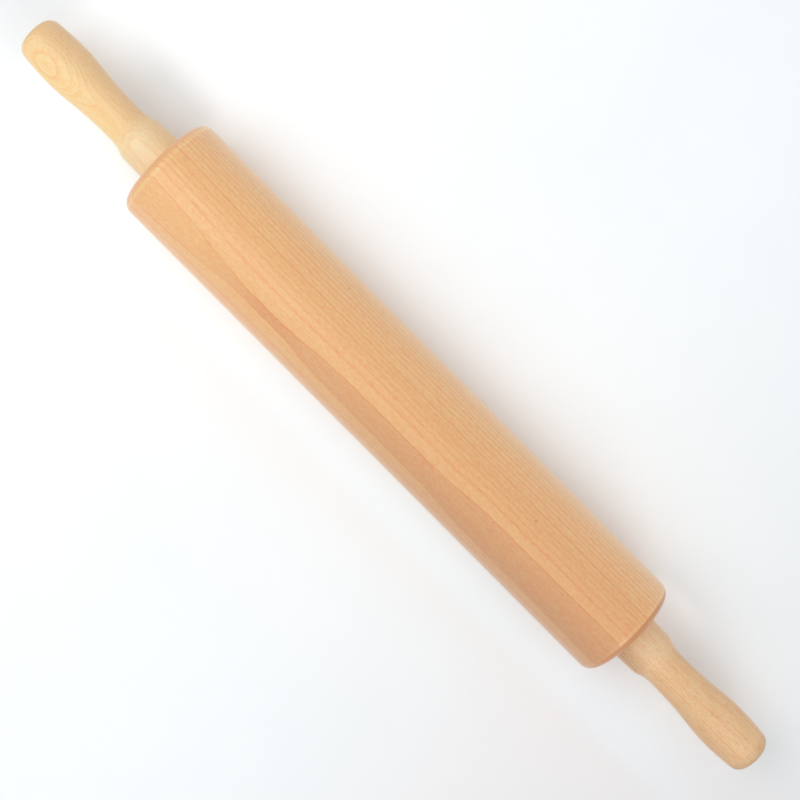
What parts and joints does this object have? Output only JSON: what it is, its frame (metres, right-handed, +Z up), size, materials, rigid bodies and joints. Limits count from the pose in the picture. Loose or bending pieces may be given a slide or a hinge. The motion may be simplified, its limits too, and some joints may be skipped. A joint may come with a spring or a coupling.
{
  "type": "rolling pin",
  "caption": "Handled rolling pin: a thick wooden barrel with rounded ends that turns on ball bearings on a through axle between turned wooden handles.",
  "frame": {"origin": "under the middle of the barrel, on the surface that the barrel rests on", "axes": "+X along the pin towards the right handle, +Z up; the pin's axis is at half the barrel's diameter"},
  "size_m": [0.6162, 0.07, 0.07],
  "materials": {
    "barrel_wood": "sanded, thinly oiled",
    "handle_wood": "sanded, satin lacquer",
    "axle_steel": "ground bright",
    "insert_brass": "turned",
    "washer_nylon": "natural nylon",
    "clip_steel": "black phosphate",
    "bearing_steel": "ground and honed",
    "cage_nylon": "moulded nylon",
    "shield_steel": "pressed sheet"
  },
  "bodies": {
    "handles": {"axle": "axle_steel", "left_handle": "handle_wood", "left_handle_insert": "insert_brass", "left_thrust_washer": "washer_nylon", "left_retaining_clip": "clip_steel", "left_bearing_inner_ring": "bearing_steel", "right_handle": "handle_wood", "right_handle_insert": "insert_brass", "right_thrust_washer": "washer_nylon", "right_retaining_clip": "clip_steel", "right_bearing_inner_ring": "bearing_steel"},
    "barrel": {"barrel": "barrel_wood", "left_bearing_outer_ring": "bearing_steel", "left_bearing_inner_shield": "shield_steel", "left_bearing_outer_shield": "shield_steel", "right_bearing_outer_ring": "bearing_steel", "right_bearing_inner_shield": "shield_steel", "right_bearing_outer_shield": "shield_steel"},
    "left_cage": {"left_bearing_cage": "cage_nylon", "left_bearing_balls": "bearing_steel"},
    "right_cage": {"right_bearing_cage": "cage_nylon", "right_bearing_balls": "bearing_steel"}
  },
  "joints": [
    {"name": "barrel_spin", "type": "hinge", "parent": "handles", "child": "barrel", "pos_m": [0, 0, 0.035], "axis": [1, 0, 0], "continuous": true},
    {"name": "left_cage_spin", "type": "hinge", "parent": "handles", "child": "left_cage", "pos_m": [-0.194, 0, 0.035], "axis": [1, 0, 0], "continuous": true},
    {"name": "right_cage_spin", "type": "hinge", "parent": "handles", "child": "right_cage", "pos_m": [0.194, 0, 0.035], "axis": [1, 0, 0], "continuous": true}
  ],
  "couplings": [
    {"joint": "left_cage_spin", "follows": "barrel_spin", "ratio": 0.6323},
    {"joint": "right_cage_spin", "follows": "barrel_spin", "ratio": 0.6323}
  ]
}
